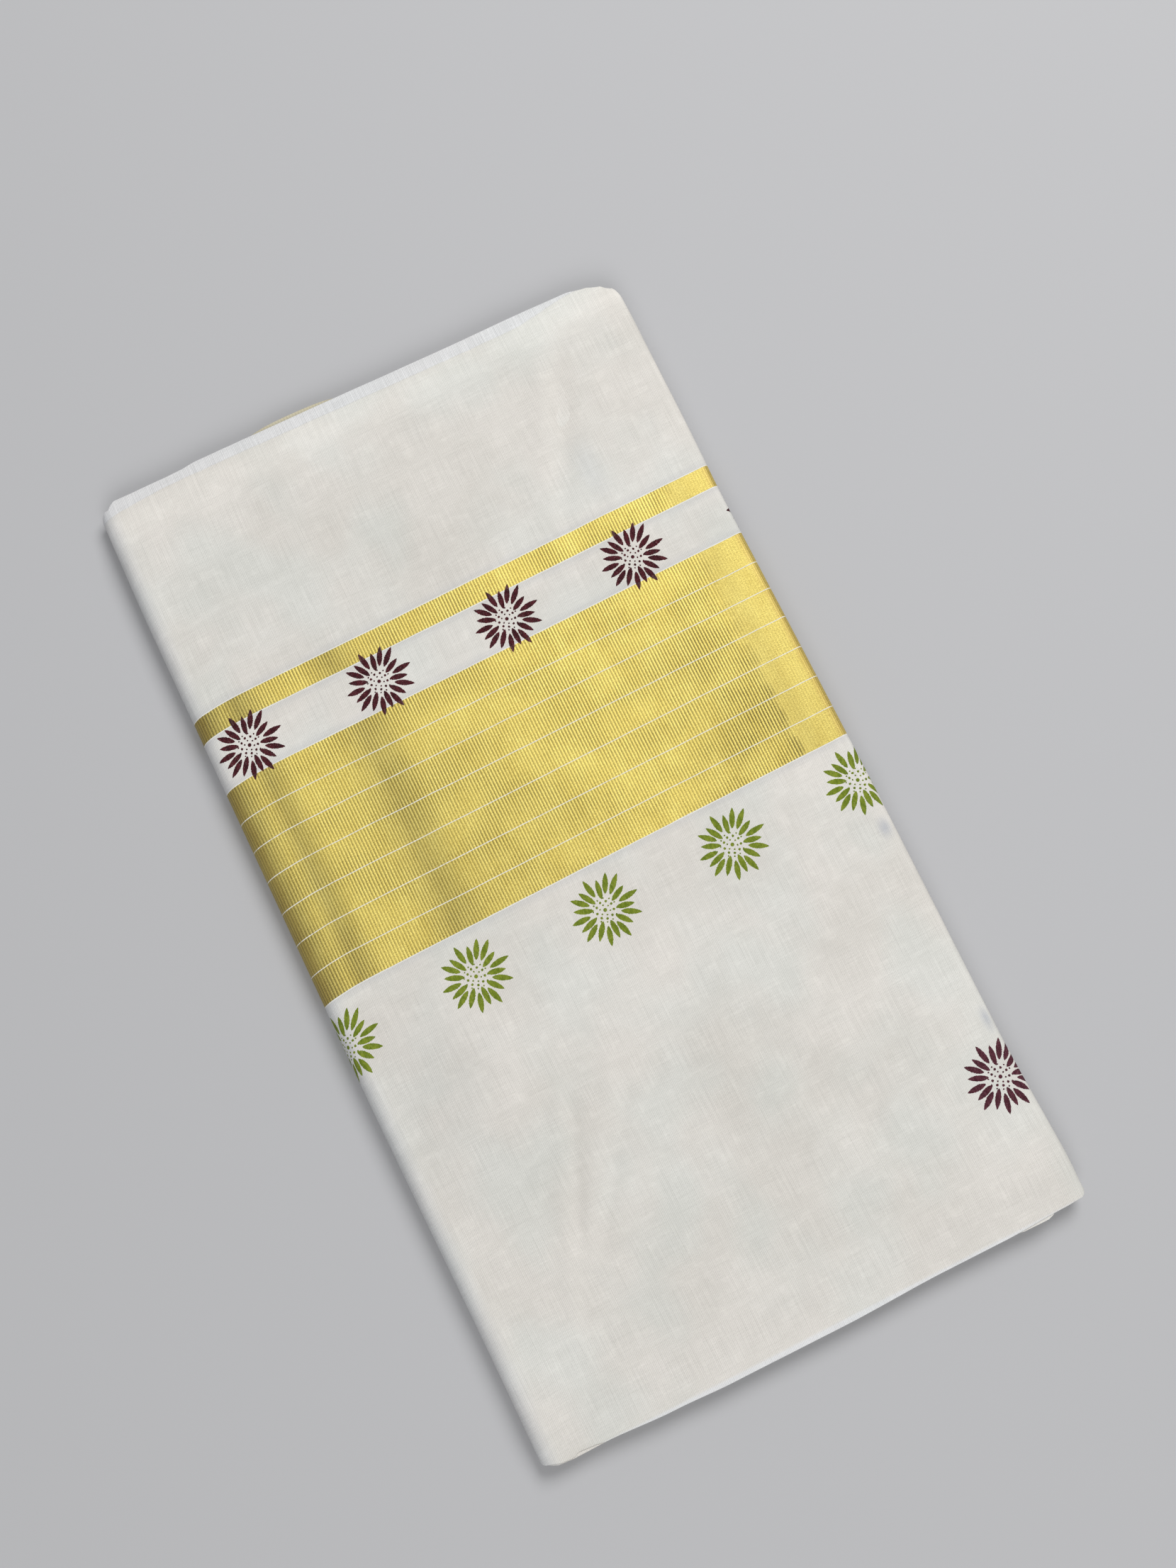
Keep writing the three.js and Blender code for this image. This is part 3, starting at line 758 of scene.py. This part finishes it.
def zari(name, picks=(), rows=(), veil=0.0):
    """Gold zari: a ribbed band of metal thread, with single white picks across it.

    Under a veil of thin cotton the gold shows only as a pale tint."""
    material, s, v = start_cloth(name)
    waver = s.grain(v, 40, 70, seed=1.0) - 0.5
    ribs = ((s + waver * 1.2) * (math.tau / (2 * DENT))).math("SINE") * 0.5 + 0.5
    worn = s.grain(v, 30, 22, seed=13.0, detail=3).step(0.35, 0.65)
    glitter = s.grain(v, 0.62, 0.52, seed=3.0, detail=3)
    thread = s.grain(v, 4, 0.35, seed=5.0, detail=3)
    cloud = s.grain(v, 10, 24, seed=7.0, detail=4)

    # Ribs and their painted groove shade are deep where the band cockles low on the right, and gone
    # where it is pressed smooth
    softness = v.step(-16, 100) * 6 + 2
    smoothed = ((s + (worn - 0.5) * 4 - (SMOOTHED_X - SPINE_X)) / softness).step(-1, 1)
    cockled = (s + SPINE_X).step(66, 104) * v.step(108, 25)
    strength = (1.1 - worn * 0.4 + cockled * 0.42) * (1 - smoothed * 0.85) * (1 - veil)
    groove_shade = (1 - ribs) ** 1.6 * strength

    # Painted sheen and shade across the gold, from the spine to the right side
    stops = [(place, (tone,) * 3) for place, tone in SHEEN]
    sheen = s.node("ValToRGB", {"stops": stops}, {"Fac": s / TOP_RUN})
    gold = (cloud * 0.25 + thread * 0.35 + glitter * 0.4).step(0.32, 0.68)
    dull = v.step(114, 128) * s.step(48, 12)
    # Painted shade in the rib grooves and painted glints from the glitter
    tone = 1.205 - groove_shade * 0.63 + (glitter - 0.5) * 1.15 + (thread - 0.5) * 0.2
    tone = (tone - smoothed * 0.07 - dull * 0.14) * sheen
    colour = gold.colour(DARK_GOLD, BRIGHT_GOLD).shaded(tone)
    # Painted shade where the gold turns over the right edge, in dark stripes
    limb_shade = (s - TOP_RUN).step(-2.5, 1.5)
    seams = ((s + waver * 3) * (math.tau / 1.15)).math("SINE") * 0.5 + 0.5
    colour = (limb_shade * (seams * 0.42 + 0.12)).colour(colour, LIMB_SHADE_GOLD)
    # Painted shade where the gold turns round the spine
    colour = (s.step(1, -4) * 0.3).colour(colour, SPINE_SHADE_GOLD)
    if veil:
        colour = (gold * 0.25 + veil).clamped().colour(colour, VEILED_GOLD)
    height = ribs * strength * 0.12 + glitter * 0.05 + thread * 0.05
    metal = 0.15
    if picks:
        white = white_picks(s, v, picks)
        colour = white.colour(colour, WHITE_PICK)
        height = height + white * 0.06
        metal = 0.4 - white * 0.4
    colour = printed(colour, s, v, rows, 1 - ribs)
    rough = 0.52 + groove_shade * 0.12 + (glitter - 0.5) * 0.2
    finish_material(colour, rough, height, metal=metal, gloss=0.5)
    return material


def light(name, at, size, power):
    """A soft studio light that faces the pack."""
    lamp = bpy.data.objects.new(name, bpy.data.lights.new(name, "AREA"))
    lamp.data.shape = "DISK"
    lamp.data.size = size
    lamp.data.energy = power
    at = Vector(at)
    lamp.matrix_world = Matrix.Translation(at) @ at.to_track_quat("Z", "Y").to_matrix().to_4x4()
    bpy.context.collection.objects.link(lamp)


FLOOR_HALF = 3  # metres


def floor():
    """A plain pale floor, level with the pack's underside."""
    bm = bmesh.new()
    bmesh.ops.create_grid(bm, x_segments=1, y_segments=1, size=FLOOR_HALF)
    mesh = bpy.data.meshes.new("floor")
    bm.to_mesh(mesh)
    bm.free()
    ground = bpy.data.objects.new("floor", mesh)
    bpy.context.collection.objects.link(ground)
    material = bpy.data.materials.new("pale floor")
    material.use_nodes = True
    shader = material.node_tree.nodes["Principled BSDF"]
    shader.inputs["Base Color"].default_value = (0.52, 0.52, 0.53, 1)
    shader.inputs["Roughness"].default_value = 0.9
    mesh.materials.append(material)


# The outer ply, stretch by stretch from the plain end to the flower end
narrow_top, narrow_bottom = woven_line(NARROW_TOP), woven_line(NARROW_BOTTOM)
broad_top, broad_bottom = woven_line(BROAD_TOP), woven_line(BROAD_BOTTOM)
end_field = stretch("end_field", narrow_top, plain_end, "ribbed_cotton")
narrow_zari = stretch("narrow_zari", narrow_bottom, narrow_top, "gold_zari")
motif_strip = stretch("motif_strip", broad_top, narrow_bottom, "printed_cotton")
broad_zari = stretch("broad_zari", broad_bottom, broad_top, "gold_zari")
body_field = stretch("body_field", flower_end, broad_bottom, "printed_cotton")
inside = folded_plies()
edge = gold_edge()

maroon_row = (MAROON_ROW, *MAROON)
body_rows = ((GREEN_ROW, *GREEN), (BODY_ROW, *FADED_MAROON))
for piece, material in (
    (end_field, cotton("ribbed cotton", hems=(NARROW_TOP,), thin=True)),
    (narrow_zari, zari("narrow gold zari", (NARROW_TOP, NARROW_BOTTOM), (maroon_row,))),
    (motif_strip, cotton("cotton with maroon flowers", (maroon_row,), (NARROW_BOTTOM, BROAD_TOP))),
    (broad_zari, zari("broad gold zari", (BROAD_TOP, *WHITE_PICKS, BROAD_BOTTOM), (maroon_row,))),
    (body_field, cotton("cotton with green flowers", body_rows, (BROAD_BOTTOM,))),
    (inside, cotton("folded cotton")),
    (edge, zari("gold edge under cotton", veil=0.72)),
):
    piece.data.materials.append(material)

floor()
light("key", (1.1, 1.0, 1.9), 1.4, 38)
light("front", (-0.5, -1.5, 1.7), 1.6, 19)
world = bpy.context.scene.world or bpy.data.worlds.new("studio")
bpy.context.scene.world = world
world.use_nodes = True
room = world.node_tree.nodes["Background"]
room.inputs["Color"].default_value = (0.97, 0.98, 1.0, 1)
room.inputs["Strength"].default_value = 0.26
bpy.context.scene.view_settings.view_transform = "Standard"
